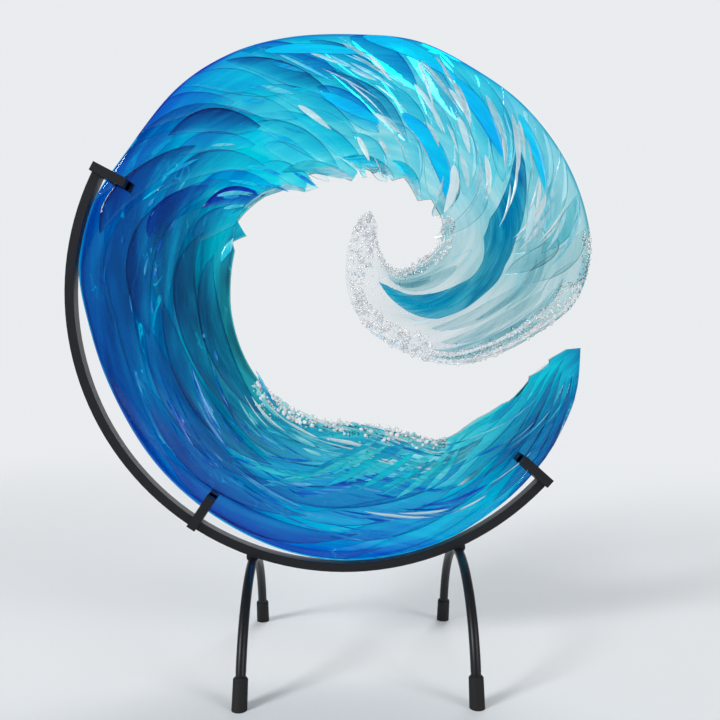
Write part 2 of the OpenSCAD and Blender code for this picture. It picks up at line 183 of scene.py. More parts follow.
# Station, then the colour at the lip, in the middle and at the rim.
PLAN = [
    (0.0, srgb(0, 165, 205), srgb(0, 120, 175), srgb(0, 85, 150)),
    (2.5, srgb(0, 195, 220), srgb(0, 140, 190), srgb(0, 90, 160)),
    (4.0, srgb(40, 200, 215), srgb(0, 155, 195), srgb(0, 115, 195)),
    (5.5, srgb(70, 220, 230), srgb(0, 160, 215), srgb(0, 90, 215)),
    (7.5, srgb(80, 220, 225), srgb(0, 145, 210), srgb(0, 80, 215)),
    (9.0, srgb(20, 175, 185), srgb(0, 105, 165), srgb(0, 60, 180)),
    (10.5, srgb(0, 135, 145), srgb(0, 90, 155), srgb(0, 50, 160)),
    (13.0, srgb(0, 122, 140), srgb(0, 75, 145), srgb(0, 45, 150)),
    (14.5, srgb(0, 145, 175), srgb(0, 80, 150), srgb(0, 60, 180)),
    (16.0, srgb(0, 200, 235), srgb(0, 135, 195), srgb(0, 95, 215)),
    (17.0, srgb(0, 222, 250), srgb(0, 182, 225), srgb(0, 138, 225)),
    (18.0, srgb(20, 222, 250), srgb(10, 195, 230), srgb(0, 172, 230)),
    (20.0, srgb(80, 215, 235), srgb(20, 190, 225), srgb(0, 185, 235)),
    (21.5, srgb(70, 215, 240), srgb(40, 200, 232), srgb(0, 190, 238)),
    (23.0, srgb(120, 215, 232), srgb(50, 190, 220), srgb(70, 195, 222)),
    (24.5, srgb(150, 205, 215), srgb(90, 190, 205), srgb(130, 200, 208)),
    (26.5, srgb(150, 200, 205), srgb(140, 198, 206), srgb(170, 208, 212)),
    (29.0, srgb(165, 205, 210), srgb(185, 212, 220), srgb(225, 235, 240)),
    (31.0, srgb(235, 242, 245), srgb(235, 242, 245), srgb(240, 245, 248)),
    (34.0, srgb(240, 245, 248), srgb(240, 245, 248), srgb(240, 245, 248))]


def mix(one, two, share):
    """The colour at a share of the way from one to two."""
    return tuple(x + (y - x) * share for x, y in zip(one, two))


def colour_at(a, t):
    """The colour that shows at station a and share t."""
    a = max(0, min(LAST, a))
    t = max(0, min(1, t))
    for low, high in zip(PLAN, PLAN[1:]):
        if a <= high[0]:
            f = (a - low[0]) / (high[0] - low[0])
            lip, middle, rim = (mix(low[k], high[k], f) for k in (1, 2, 3))
            return mix(lip, middle, t * 2) if t < 0.5 else mix(middle, rim, t * 2 - 1)


print("colour in the middle of the crest:", [round(c, 2) for c in colour_at(16, 0.5)])

# %% [markdown]
# ## The glass
#
# Glass is a Principled surface with full transmission: light bends on its way in and out, and takes
# the base colour. Each mesh carries three values of its own. `tint` is the colour of that piece of
# glass, and `lie` holds its place along and across the flow, so that streaks and waves in the
# surface follow the wave wherever it turns. `edge` is 1 on the cut edge, where painted shade darkens the
# glass.
# The colour is raised to a power that changes from place to place: a higher power is a thicker
# piece of the same glass, which is deeper in colour but never greyer. In the kiln the layers melt
# together, so that light hardly bends where one meets the next. The inner layers have a low
# refractive index for that reason.

# %% Make the glass
SHINE = 0.18
RIPPLE = 0.6 * MM
THREAD_COLOUR = (0.16, 0.72, 1, 1)
# The colour of the painted shade on the very edge of a piece.
PAINTED_EDGE_SHADE_COLOUR = (0.0, 0.12, 0.2, 1)
# Cells of noise per metre along and across the flow.
BROAD_CELLS, FINE_CELLS, RIDGE_CELLS = (11, 75), (40, 500), (14, 60)
SELDOM_CELLS, RIPPLE_CELLS = (25, 60), (45, 160)


def node(tree, kind, **values):
    """A new shader node with the values given."""
    made = tree.nodes.new(kind)
    for name, value in values.items():
        setattr(made, name, value)
    return made


def noise_along(tree, vector, scale, detail=2, distortion=0.0):
    """Noise stretched along the flow. scale is noise cells per metre along and across it."""
    stretch = node(tree, "ShaderNodeMapping")
    stretch.inputs["Scale"].default_value = (*scale, 1)
    tree.links.new(vector, stretch.inputs["Vector"])
    noise = node(tree, "ShaderNodeTexNoise")
    noise.inputs["Scale"].default_value = 1
    noise.inputs["Detail"].default_value = detail
    noise.inputs["Distortion"].default_value = distortion
    tree.links.new(stretch.outputs["Vector"], noise.inputs["Vector"])
    return noise.outputs["Fac"]


def remap(tree, value, low, high, to_low, to_high):
    """The value moved softly from the range low to high into the range to_low to to_high."""
    made = node(tree, "ShaderNodeMapRange", interpolation_type="SMOOTHSTEP")
    for name, number in zip(("From Min", "From Max", "To Min", "To Max"), (low, high, to_low, to_high)):
        made.inputs[name].default_value = number
    tree.links.new(value, made.inputs["Value"])
    return made.outputs["Result"]


def maths(tree, operation, one, two):
    """A sum on two sockets or numbers."""
    made = node(tree, "ShaderNodeMath", operation=operation)
    for socket, value in zip(made.inputs, (one, two)):
        if isinstance(value, (int, float)):
            socket.default_value = value
        else:
            tree.links.new(value, socket)
    return made.outputs["Value"]


def glass(name, bands=0.3, streaks=0.15, threads=0.0, painted_edge_shade=0.4, painted_outline_shade=0.0, wave=0.15, ior=1.45,
          roughness=0.03, clear=1.0):
    """Tinted glass. bands and streaks are broad and fine changes in the depth of the colour along the
    flow, threads are thin pale lines, painted_edge_shade is painted shade that deepens the colour near
    the edge, painted_outline_shade is painted shade that darkens the very edge, and wave is the height
    of the ripples in its surface."""
    material = bpy.data.materials.new(name)
    material.use_nodes = True
    tree = material.node_tree
    shader = tree.nodes["Principled BSDF"]
    tint = node(tree, "ShaderNodeAttribute", attribute_name="tint")
    lie = node(tree, "ShaderNodeAttribute", attribute_name="lie").outputs["Vector"]
    edge = node(tree, "ShaderNodeAttribute", attribute_name="edge")

    broad = remap(tree, noise_along(tree, lie, BROAD_CELLS, 2, 0.5), 0.3, 0.7, 1 - bands, 1 + bands)
    fine = remap(tree, noise_along(tree, lie, FINE_CELLS, 4, 0.8), 0.3, 0.7, 1 - streaks, 1 + streaks)
    # Painted shade: the colour deepens towards the cut edge.
    rim = remap(tree, edge.outputs["Fac"], 0.75, 1, 1, 1 + painted_edge_shade)
    depth = maths(tree, "MULTIPLY", maths(tree, "MULTIPLY", broad, fine), rim)
    parts = node(tree, "ShaderNodeSeparateColor")
    tree.links.new(tint.outputs["Color"], parts.inputs["Color"])
    deeper = node(tree, "ShaderNodeCombineColor")
    for channel in ("Red", "Green", "Blue"):
        tree.links.new(maths(tree, "POWER", parts.outputs[channel], depth), deeper.inputs[channel])

    # A thread runs where the noise crosses its middle.
    from_middle = maths(tree, "SUBTRACT", noise_along(tree, lie, RIDGE_CELLS, 3, 0.9), 0.5)
    ridge = maths(tree, "ABSOLUTE", from_middle, 0)
    seldom = remap(tree, noise_along(tree, lie, SELDOM_CELLS, 1), 0.5, 0.62, 0, 1)
    thread = maths(tree, "MULTIPLY", remap(tree, ridge, 0.0, 0.012, threads, 0), seldom)
    pale = node(tree, "ShaderNodeMix", data_type="RGBA")
    tree.links.new(thread, pale.inputs["Factor"])
    tree.links.new(deeper.outputs["Color"], pale.inputs["A"])
    pale.inputs["B"].default_value = THREAD_COLOUR
    # Painted shade: the very edge is darkened towards the outline colour.
    edge_shaded = node(tree, "ShaderNodeMix", data_type="RGBA", blend_type="MULTIPLY")
    tree.links.new(remap(tree, edge.outputs["Fac"], 0.9, 1, 0, painted_outline_shade), edge_shaded.inputs["Factor"])
    tree.links.new(pale.outputs["Result"], edge_shaded.inputs["A"])
    edge_shaded.inputs["B"].default_value = PAINTED_EDGE_SHADE_COLOUR
    tree.links.new(edge_shaded.outputs["Result"], shader.inputs["Base Color"])

    bump = node(tree, "ShaderNodeBump")
    bump.inputs["Strength"].default_value = wave
    bump.inputs["Distance"].default_value = RIPPLE
    tree.links.new(noise_along(tree, lie, RIPPLE_CELLS), bump.inputs["Height"])
    tree.links.new(bump.outputs["Normal"], shader.inputs["Normal"])

    shader.inputs["Roughness"].default_value = roughness
    shader.inputs["IOR"].default_value = ior
    shader.inputs["Specular IOR Level"].default_value = SHINE
    shader.inputs["Transmission Weight"].default_value = clear
    return material


sheet_glass = glass("sheet_glass", bands=0.35, streaks=0.12, threads=0.7, painted_edge_shade=0.3, wave=0.1)
under_glass = glass("under_glass", bands=0.35, streaks=0.25, painted_edge_shade=0.2, wave=0.1, ior=1.12)
leaf_glass = glass("leaf_glass", bands=0.2, streaks=0.18, painted_edge_shade=0.9, painted_outline_shade=0.6, wave=0.16,
                   ior=1.33)
print("glass:", sheet_glass.name, under_glass.name, leaf_glass.name)

# %% [markdown]
# ## A cut piece of glass
#
# Every piece of the relief is made the same way: a flat grid is the back, it is extruded once to get
# a front and the side walls, and then each vertex is moved to its place. The front is crowned, as
# glass is when its edges melt round in the kiln. A grid is 1 unit each way, so a vertex's own x and
# y say where it lies in the piece before it is moved.

# %% Cut a piece
# Vertices closer than this are one, which makes the ends of a blade points.
WELD = 0.01 * MM
# Each piece reads the noise from a place of its own, up to so many metres away.
NOISE_AWAY = 3


def new_cut():
    """An empty mesh with the three values that the glass reads."""
    cut = bmesh.new()
    cut.verts.layers.float_color.new("tint")
    cut.verts.layers.float_vector.new("lie")
    cut.verts.layers.float.new("edge")
    return cut


def add_piece(cut, steps, across, place, tint, crown):
    """Adds one closed piece. place(u, v) gives station and share across for u from 0 to 1 along and
    v from -1 to 1 across. crown(u, v) gives the depths of its back and front. tint(u, v) is its
    colour."""
    as_tint = cut.verts.layers.float_color["tint"]
    as_lie = cut.verts.layers.float_vector["lie"]
    as_edge = cut.verts.layers.float["edge"]
    back = bmesh.ops.create_grid(cut, x_segments=steps, y_segments=across, size=1)["verts"]
    sheet = list({face for vertex in back for face in vertex.link_faces})
    grown = bmesh.ops.extrude_face_region(cut, geom=sheet, use_keep_orig=True)["geom"]
    front = [item for item in grown if isinstance(item, bmesh.types.BMVert)]
    slide = random.uniform(0, NOISE_AWAY)
    for side, points in ((0, back), (1, front)):
        for vertex in points:
            u, v = (vertex.co.x + 1) / 2, math.sin(vertex.co.y * math.pi / 2)
            a, t = place(u, v)
            vertex[as_tint] = (*tint(u, v), 1)
            vertex[as_lie] = (run(a) + slide, t * width(a) + slide, slide)
            # edge is the mask where painted shade darkens the glass at the cut edge.
            vertex[as_edge] = max(abs(v), abs(2 * u - 1) ** 6)
            vertex.co = flow(a, t, crown(u, v)[side])
    bmesh.ops.remove_doubles(cut, verts=back + front, dist=WELD)


def finish_cut(cut, name, material, body="wave", smooth_to=40):
    """Turns the mesh into an object at the origin that rides on a body of the frame."""
    bmesh.ops.recalc_face_normals(cut, faces=cut.faces[:])
    mesh = bpy.data.meshes.new(name)
    cut.to_mesh(mesh)
    cut.free()
    mesh.shade_smooth()
    mesh.set_sharp_from_angle(angle=math.radians(smooth_to))
    mesh.materials.append(material)
    piece = bpy.data.objects.new(name, mesh)
    bpy.context.scene.collection.objects.link(piece)
    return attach(piece, body)


# %% [markdown]
# ## The backing sheet
#
# On a bench the backing is seven flat sheets. In the kiln they melt into one, so it is one mesh here:
# a grid along the wave. Its inner edge has the barbs of the crest, where the tips of the blades hang
# over. Light that passes two layers of glass is multiplied, so each layer takes only a share of the
# plan's colour, written as an exponent, and the exponents add up.

# %% Make the backing sheet
SHEET_SHARE = 0.6
# How deep the colour is in each zone beside the plan's.
DEPTH = [(0, 0.95), (4, 0.8), (8, 0.85), (9.5, 1.25), (13.5, 1.4), (15, 1.2), (16.5, 1), (18, 0.82),
         (34, 0.9)]
# How deep it is beside that: on the rim below the crest a painted light line, on the rim of the crest
# a painted shade line, and on the lip.
CREST_FROM = 15.2
LOW_RIM_PAINTED_LIGHT, CREST_RIM_PAINTED_SHADE, LIP_EDGE = 0.4, 2.2, 0.45
EDGE_FROM = 0.98
# Station and share across of the inner lip where it isn't even.
LIP = [(0, 0.05), (0.4, -0.05), (0.6, -0.06), (0.7, 0.06), (1, 0.05), (1.3, -0.06), (1.5, 0.03),
       (2, 0.03), (2.5, -0.05), (3.5, -0.05), (4.25, 0), (14.25, 0), (14.5, 0.03), (15, -0.05),
       (15.25, 0.06), (16.5, 0.06), (17.25, 0.03), (17.75, -0.04), (18, 0.07), (18.75, 0.05),
       (19.5, -0.03), (19.75, 0.06), (20.25, 0.02), (20.5, 0.05), (21, -0.02), (21.25, 0.04),
       (22.25, -0.04), (22.5, 0.04), (23.25, 0.02), (24, 0)]
STOPS = sorted({k / 10 for k in range(10 * LAST + 1)} | {point[0] for point in LIP})


def look_up(table, a, column=1):
    """The number in a column of the table at station a, in between neighbouring rows."""
    if a <= table[0][0]:
        return table[0][column]
    for low, high in zip(table, table[1:]):
        if a <= high[0]:
            return low[column] + (high[column] - low[column]) * (a - low[0]) / (high[0] - low[0])
    return table[-1][column]


def stop_at(u):
    """The station of the grid line at u."""
    return STOPS[round(u * (len(STOPS) - 1))]


def sheet_place(u, v):
    a = stop_at(u)
    low = look_up(LIP, a)
    return a, low + (1 - low) * (v + 1) / 2


def sheet_tint(u, v):
    """The lip is brighter than the rest. The lower rim is brighter too, a painted light line, and the
    rim of the crest is deeper, a painted shade line.
    """
    a = stop_at(u)
    # Painted light along the rim below the crest, painted shade along the rim of the crest.
    rim = CREST_RIM_PAINTED_SHADE if a > CREST_FROM else LOW_RIM_PAINTED_LIGHT
    beside = rim if v > EDGE_FROM else LIP_EDGE if v < -EDGE_FROM else 1
    power = SHEET_SHARE * look_up(DEPTH, a) * beside
    return tuple(c ** power for c in colour_at(a, (v + 1) / 2))


random.seed(3)
cut = new_cut()
add_piece(cut, len(STOPS) - 1, 26, sheet_place, sheet_tint, lambda u, v: (glass_back, glass_front))
backing = finish_cut(cut, "fused_backing_sheet", sheet_glass)
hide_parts(*[name for name in nodes if name.startswith("backing_")])
print("backing sheet:", len(backing.data.polygons), "faces")

# %% [markdown]
# ## The rows of blades
#
# The relief is made of blades that run along the wave and overlap like feathers. Past the top of the
# body they drift inwards, so that their tips reach over the lip. Rows are laid one beside another,
# and each row is cut into blades of uneven length. Two layers lie on each other, half a row apart,
# so that every blade covers the joint below it. Rows end where they meet the teal crescent.

# %% Lay out the rows
CREST_BEND, CREST_DRIFT = 14.5, 0.22
TAIL_BEND, TAIL_DRIFT = 8.0, 0.08
BLADES_END = 26.0
TIP_REACH = 0.055
# In stations: where rows begin, how short a blade may be, how far one reaches over the next, and the
# step on where no blade fits.
ROW_FROM, SHORTEST, STEP_ON = 0.4, 0.7, 0.35
OVERLAP = (0.15, 0.5)
# How much a blade's length differs from its layer's.
UNEVEN = (0.7, 1.35)
# How far a blade's edge may stand over the lip, from station to station.
REACH = [(0, 0.05), (4, 0), (14.5, -0.02), (15.2, -0.06), (16.6, -0.06), (17.2, -0.02), (17.8, 0.05)]
# Station, middle and half width of the crescent.
CRESCENT = [(22.4, 0.78, 0), (22.8, 0.69, 0.05), (23.4, 0.56, 0.09), (24, 0.45, 0.12),
            (24.7, 0.385, 0.11), (25.6, 0.39, 0.075), (26.5, 0.41, 0.08), (27.6, 0.41, 0.11),
            (28.6, 0.4, 0.13), (29.5, 0.37, 0.11), (30.2, 0.35, 0.06), (30.7, 0.34, 0)]
CRESCENT_CLEAR = 0.03


def ramp(x, soft=1.4):
    """0 before 0 and x after it, with a soft bend between."""
    return 0 if x < -soft else x if x > soft else (x + soft) ** 2 / (4 * soft)


def drift(a):
    """How far a row has drifted inwards at station a."""
    return CREST_DRIFT * ramp(a - CREST_BEND) + TAIL_DRIFT * ramp(TAIL_BEND - a)


def row_end(q):
    """The station where the row q meets the crescent."""
    a = CRESCENT[0][0]
    while a < BLADES_END:
        if abs(q - drift(a) - look_up(CRESCENT, a)) < look_up(CRESCENT, a, 2) + CRESCENT_CLEAR:
            return a
        a += 0.1
    return BLADES_END


def lay_rows(pitch, offset, crest_long, body_long, halves):
    """Blades as first station, last station, row and half width. halves is the range of half widths
    as shares of the pitch."""
    blades = []
    rows = math.ceil((1 + CREST_DRIFT * (BLADES_END - CREST_BEND)) / pitch)
    for m in range(rows):
        q = (m + offset) * pitch
        stop = row_end(q)
        a = ROW_FROM + random.uniform(0, 0.8)
        while a < stop - SHORTEST:
            t = q - drift(a)
            end = a + (crest_long if a > CREST_BEND - 1 else body_long) * random.uniform(*UNEVEN)
            inside = -TIP_REACH <= q - drift(end - 0.1) and pitch * 0.2 < t < 1 + pitch * 0.2
            if inside or (q - drift(end) > 0 and t < 1):
                blades.append((a, min(end, stop), q, pitch * random.uniform(*halves)))
                a = end - random.uniform(*OVERLAP)
            else:
                a += STEP_ON
    return blades


random.seed(11)
layers = [lay_rows(pitch=0.17, offset=0.5, crest_long=2.4, body_long=4.5, halves=(0.5, 0.66)),
          lay_rows(pitch=0.15, offset=0.0, crest_long=1.9, body_long=3.6, halves=(0.5, 0.68))]
print("blades in each layer:", [len(layer) for layer in layers])

# %% [markdown]
# ## The blades
#
# A blade is pointed at both ends and widest past its middle. Its edges are thin; the lower one is
# painted bright and the upper one deep, painted light and shade across the blade that gives the crest
# its look of feathers. Low on the body the blades have sunk almost flat into the sheet. The seven
# colours that they are cut from are the names of the groups. A blade's own colour lies between the
# plan's colour at its middle and one picked for its zone.

# %% Cut the blades
GROUPS = {
    "deep": srgb(0, 78, 160), "royal": srgb(0, 95, 205), "teal": srgb(0, 118, 155),
    "turquoise": srgb(10, 160, 190), "cyan": srgb(15, 195, 240), "aqua": srgb(140, 225, 235),
    "clear": srgb(205, 224, 228)}
# Up to each station, the colours that blades are picked from.
PICKS = [
    (5, (srgb(0, 190, 220), srgb(0, 100, 170), srgb(0, 150, 190), srgb(70, 210, 225))),
    (9, (srgb(0, 110, 220), srgb(0, 160, 225), srgb(0, 195, 225), srgb(60, 205, 225))),
    (14, (srgb(0, 55, 165), srgb(0, 85, 160), srgb(0, 115, 150))),
    (16.8, (srgb(0, 70, 215), srgb(0, 150, 250), srgb(0, 220, 245), srgb(0, 110, 150), srgb(0, 90, 180),
            srgb(0, 130, 200))),
    (19.5, (srgb(0, 170, 250), srgb(0, 225, 250), srgb(0, 140, 180), srgb(0, 190, 220),
            srgb(90, 225, 240))),
    (22.5, (srgb(60, 215, 245), srgb(40, 215, 245), srgb(180, 230, 238), srgb(0, 150, 190),
            srgb(205, 222, 228), srgb(215, 228, 232))),
    (35, (srgb(190, 215, 220), srgb(90, 200, 215), srgb(20, 150, 175), srgb(205, 222, 226)))]
# A blade's tint is its layer's share, times one of the strengths, times the contrast at its station.
STRENGTH = (0.1, 0.3, 0.6, 1.0, 1.5)
CONTRAST = [(0, 0.8), (8, 0.7), (10, 0.3), (13.5, 0.35), (15, 1)]
# For the lower and the upper layer.
LAYER_SHARE = (0.25, 0.6)
LAYER_BACK = (glass_front, glass_front - 1.7 * MM)
LAYER_EDGE = (0.12 * MM, 0.4 * MM)
LAYER_CROWN = (1.1 * MM, 1.3 * MM)
# From station to station, how high the blades stand and how strongly the painted light and shade
# across them shows.
RELIEF = [(0, 0.7), (4, 0.55), (8, 0.4), (9.5, 0.22), (13.5, 0.25), (15, 0.9), (16, 1)]
FEATHER_PAINTED_SHADE = [(0, 0.4), (9, 0.15), (13.5, 0.25), (15, 0.95), (20, 0.8), (24, 0.4)]
# The tip of a blade, from here on, is brighter.
TIP_FROM = 0.6


def nearest_group(colour):
    """The group whose colour looks most like this one."""
    return min(GROUPS, key=lambda name: sum((x ** 0.45 - y ** 0.45) ** 2
                                            for x, y in zip(colour, GROUPS[name])))


def squeeze(middle, wide, v, least=0.0, most=0.985):
    """The share across at v of a strip, narrowed where it would reach over the lip or the rim."""
    low, high = max(least, middle - wide), min(most, middle + wide)
    if high < low:
        low = high = max(least, min(most, middle))
    return (low + high) / 2 + v * (high - low) / 2


def blade_piece(cut, first, final, middle, half, layer, tint, fine=(14, 6)):
    """One blade whose middle line runs at the share middle(a)."""
    belly = random.uniform(0.85, 1.25)
    relief = look_up(RELIEF, (first + final) / 2)
    back = LAYER_BACK[layer] - random.uniform(0.05, 0.45) * MM
    edge, rise = LAYER_EDGE[layer] * relief, LAYER_CROWN[layer] * relief

    def place(u, v):
        a = first + (final - first) * u
        wide = half * max(0, math.sin(math.pi * u ** belly)) ** 0.8
        return a, squeeze(middle(a), wide, v, -look_up(REACH, a))

    def crown(u, v):
        lift = max(0, math.sin(math.pi * u)) ** 0.6 * (1 - abs(v) ** 2.4)
        return back, back - edge - rise * lift

    add_piece(cut, *fine, place, tint, crown)


def tint_with_painted_shade(colour, share, a):
    """A tint with painted light at the lower edge, painted shade at the upper edge, and brighter at the
    tip.
    """
    slope = look_up(FEATHER_PAINTED_SHADE, a)
    tip = random.uniform(0.1, 0.6)

    def tint(u, v):
        # Painted light and shade across the blade, and a brighter tip.
        power = share * (1 + slope * v) * (1 - tip * max(0, u - TIP_FROM) / (1 - TIP_FROM))
        return tuple(c ** power for c in colour)
    return tint


random.seed(7)
for layer, name, material in ((0, "under_blades_", under_glass), (1, "top_blades_", leaf_glass)):
    cuts = {group: new_cut() for group in GROUPS}
    counts = dict.fromkeys(GROUPS, 0)
    for first, final, q, half in layers[layer]:
        a = (first + final) / 2
        plan = colour_at(a + random.uniform(-0.6, 0.6), q - drift(a) + random.uniform(-0.15, 0.15))
        picked = random.choice(next(colours for end, colours in PICKS if a < end))
        seen = mix(plan, picked, random.uniform(0.3, 0.8))
        group = nearest_group(seen)
        share = LAYER_SHARE[layer] * random.choice(STRENGTH) * look_up(CONTRAST, a)
        blade_piece(cuts[group], first, final, lambda at, q=q: q - drift(at), half, layer,
                    tint_with_painted_shade(seen, share, a))
        counts[group] += 1
    for group, cut in cuts.items():
        piece = finish_cut(cut, name + group + "_glass", material)
        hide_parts(name + group)
    print(name, counts)

# %% [markdown]
# ## Shards, flecks and streaks
#
# On top of the blades lie smaller things of milky glass. Knife-like shards and thin slivers stand in
# the shoulder. Azure flecks float in the body, and swells and streaks in the trough. Milky glass
# scatters the light, so it also shows in front of deep blue.

# %% Scatter the small pieces
milky_glass = glass("milky_glass", bands=0.3, streaks=0.4, painted_edge_shade=0, wave=0.2, roughness=0.12,
                    clear=0.45)
# How far the backs lie in front of the sheet, in millimetres, from the top of the blades down.
ON_TOP, HIGH, MIDDLE, LOW = 3.35, 2.9, 2.6, 2.3
SPLINTER_EDGE, SPLINTER_CROWN = 0.25 * MM, 0.6 * MM
SPLINTER_OVER_LIP = 0.03


def scatter(name, material, pieces, seed):
    """pieces holds count, station range, share range, length range, half width range, fall of the
    share along the piece, colours and millimetres in front of the sheet."""
    random.seed(seed)
    cut = new_cut()
    for count, stations, shares, longs, halves, slope, colours, depth in pieces:
        for k in range(count):
            first, t0 = random.uniform(*stations), random.uniform(*shares)
            long, half = random.uniform(*longs), random.uniform(*halves)
            pale = random.choice(colours)
            back = glass_front - (depth + random.uniform(0, 0.3)) * MM
            tilt = slope * random.uniform(0.7, 1.3)

            def place(u, v):
                wide = half * math.sin(math.pi * u ** 0.8) ** 0.8
                return first + long * u, squeeze(t0 - tilt * long * u, wide, v, -SPLINTER_OVER_LIP)

            def crown(u, v):
                rise = SPLINTER_CROWN * math.sin(math.pi * u) * (1 - abs(v))
                return back, back - SPLINTER_EDGE - rise

            add_piece(cut, 8, 4, place, lambda u, v: pale, crown)
    piece = finish_cut(cut, name, material)
    print(name, len(piece.data.polygons), "faces")


ICE = (srgb(225, 242, 246), srgb(185, 228, 238), srgb(150, 225, 240), srgb(200, 228, 236))
AZURE = (srgb(20, 130, 225), srgb(10, 105, 215), srgb(60, 170, 235))
CYAN = (srgb(0, 210, 245), srgb(90, 225, 245), srgb(0, 180, 240))
SWELL = (srgb(0, 205, 230), srgb(60, 220, 235), srgb(20, 190, 225))
FROTH = (srgb(130, 225, 235), srgb(225, 245, 248), srgb(80, 205, 225), srgb(30, 180, 215))
scatter("knife_shards", milky_glass, [
    (24, (18.2, 22.6), (0.25, 1.0), (0.5, 1.1), (0.012, 0.026), 0.2, ICE, ON_TOP),
    (12, (22.5, 24.4), (0.72, 0.95), (0.6, 1.2), (0.01, 0.024), 0.2, ICE, ON_TOP)], 41)
scatter("bright_slivers", milky_glass, [
    (22, (14.4, 18), (0.1, 0.95), (0.4, 0.9), (0.008, 0.022), 0.2, CYAN, ON_TOP),
    (26, (18.5, 23.5), (0.1, 0.95), (0.6, 1.5), (0.004, 0.012), 0.2, ICE, ON_TOP)], 42)
scatter("azure_flecks", milky_glass, [
    (26, (8.5, 14.4), (0.15, 0.9), (0.1, 0.45), (0.003, 0.01), 0.02, AZURE, LOW),
    (40, (6.0, 10.0), (0.3, 0.85), (0.3, 1.4), (0.003, 0.012), 0.06, AZURE, MIDDLE)], 43)
scatter("trough_swells", milky_glass, [
    (22, (4.2, 7.4), (0.04, 0.26), (0.6, 1.5), (0.02, 0.045), -0.24, SWELL, HIGH),
    (10, (6.4, 8.6), (0.25, 0.6), (0.5, 1.1), (0.01, 0.024), -0.1, SWELL + AZURE, HIGH)], 47)
scatter("trough_streaks", milky_glass, [
    (60, (4.6, 9.4), (0.02, 0.3), (0.4, 1.5), (0.004, 0.016), 0.05, FROTH, MIDDLE),
    (30, (1.5, 6.0), (0.1, 0.8), (0.5, 1.8), (0.005, 0.018), 0.07, FROTH + AZURE, MIDDLE)], 44)

# %% [markdown]
# ## The leaves on top
#
# Larger leaves of opal glass lie on top of all blades in the shoulder, some cyan and some white. Bright
# leaves run along the lip and end in the tips of its barbs, with a thin painted highlight beside them,
# and the tail carries a small lens.

# %% Lay the opal leaves of the shoulder
# First and last station, share at each end, half width.
CYAN_LEAVES = [
    (17.2, 18.9, 0.97, 0.9, 0.035), (19.1, 20.9, 0.96, 0.83, 0.05), (20.45, 22.2, 0.83, 0.6, 0.055),
    (20.4, 23.2, 0.47, 0.1, 0.065), (18.6, 20.0, 0.62, 0.4, 0.045), (21.9, 23.4, 0.95, 0.8, 0.035)]
WHITE_LEAVES = [
    (20.35, 21.0, 0.93, 0.67, 0.02), (21.3, 22.1, 0.66, 0.5, 0.03), (22.3, 23.7, 0.4, 0.12, 0.05),
    (20.0, 21.1, 0.75, 0.52, 0.022), (19.6, 20.1, 0.87, 0.7, 0.02), (18.1, 18.8, 0.52, 0.33, 0.03),
    (23.5, 24.6, 0.72, 0.62, 0.03), (18.9, 19.5, 0.3, 0.12, 0.03)]
# How far chance may move a leaf along the wave and across it, and its depth in millimetres.
LEAF_SHIFT, LEAF_ASIDE, LEAF_DEPTH = (-0.5, 0.5), (-0.1, 0.04), (3.4, 3.6)
LEAF_EDGE, LEAF_CROWN = 0.2 * MM, 0.8 * MM
LEAF_GRID = (20, 6)


def slanting(first, final, t0, t1):
    """A middle line whose share goes evenly from t0 to t1."""
    return lambda a: t0 + (t1 - t0) * (a - first) / (final - first)


def lay_leaves(name, material, leaves, colours):
    """Single blades on top of all others. Each is moved by chance along and across the wave, which
    gives the shoulder a layout of its own."""
    cut = new_cut()
    for first, final, t0, t1, half in leaves:
        shift, aside = random.uniform(*LEAF_SHIFT), random.uniform(*LEAF_ASIDE)
        first, final = first + shift, final + shift
        line = slanting(first, final, t0 + aside, t1 + aside)
        colour, back = random.choice(colours), glass_front - random.uniform(*LEAF_DEPTH) * MM

        def place(u, v):
            a = first + (final - first) * u
            return a, squeeze(line(a), half * math.sin(math.pi * u ** 0.8) ** 0.7, v)

        def crown(u, v):
            return back, back - LEAF_EDGE - LEAF_CROWN * math.sin(math.pi * u) * (1 - v * v)

        add_piece(cut, *LEAF_GRID, place, lambda u, v: colour, crown)
    piece = finish_cut(cut, name, material)
    print(name, len(piece.data.polygons), "faces")


opal_glass = glass("opal_glass", bands=0.25, streaks=0.2, painted_outline_shade=0.8, wave=0.2, roughness=0.12,
                   clear=0.3)
random.seed(46)
lay_leaves("cyan_leaves", opal_glass, CYAN_LEAVES,
           (srgb(0, 205, 255), srgb(20, 215, 255)))
lay_leaves("white_leaves", opal_glass, WHITE_LEAVES,
           (srgb(225, 246, 250), srgb(200, 238, 246)))

# %% Lay the leaves along the lip and the lens in the tail
# First and last station, share at each end, half width.
LIP_LEAVES = [(13.7, 15.05, 0.07, -0.05, 0.03), (15.3, 17.8, 0.12, -0.03, 0.045),
              (17.2, 19.55, 0.14, -0.02, 0.045), (19.0, 21.05, 0.14, -0.01, 0.04),
              (20.6, 22.3, 0.12, -0.03, 0.035)]
TAIL_LENSES = [(3.7, 5.9, 0.2, 0.27, 0.06), (4.1, 4.8, 0.5, 0.52, 0.03)]
# First and last station of each painted highlight line, and their place beside the lip and half width.
LIP_HIGHLIGHT_LINES = [(15.1, 17.75), (17.95, 19.5), (19.8, 21.0), (21.15, 22.2)]
LINE_ASIDE, LINE_HALF, LINE_GRID = 0.015, 0.016, (30, 4)
LIP_CYAN, LIP_WHITE = srgb(30, 215, 240), srgb(225, 245, 250)
LENS_AQUA, LENS_WHITE = srgb(90, 190, 210), srgb(235, 245, 248)


def drooping(first, final, t0, t1):
    """A middle line that leaves t0 slowly and reaches t1 fast."""
    return lambda a: t0 + (t1 - t0) * ((a - first) / (final - first)) ** 1.5


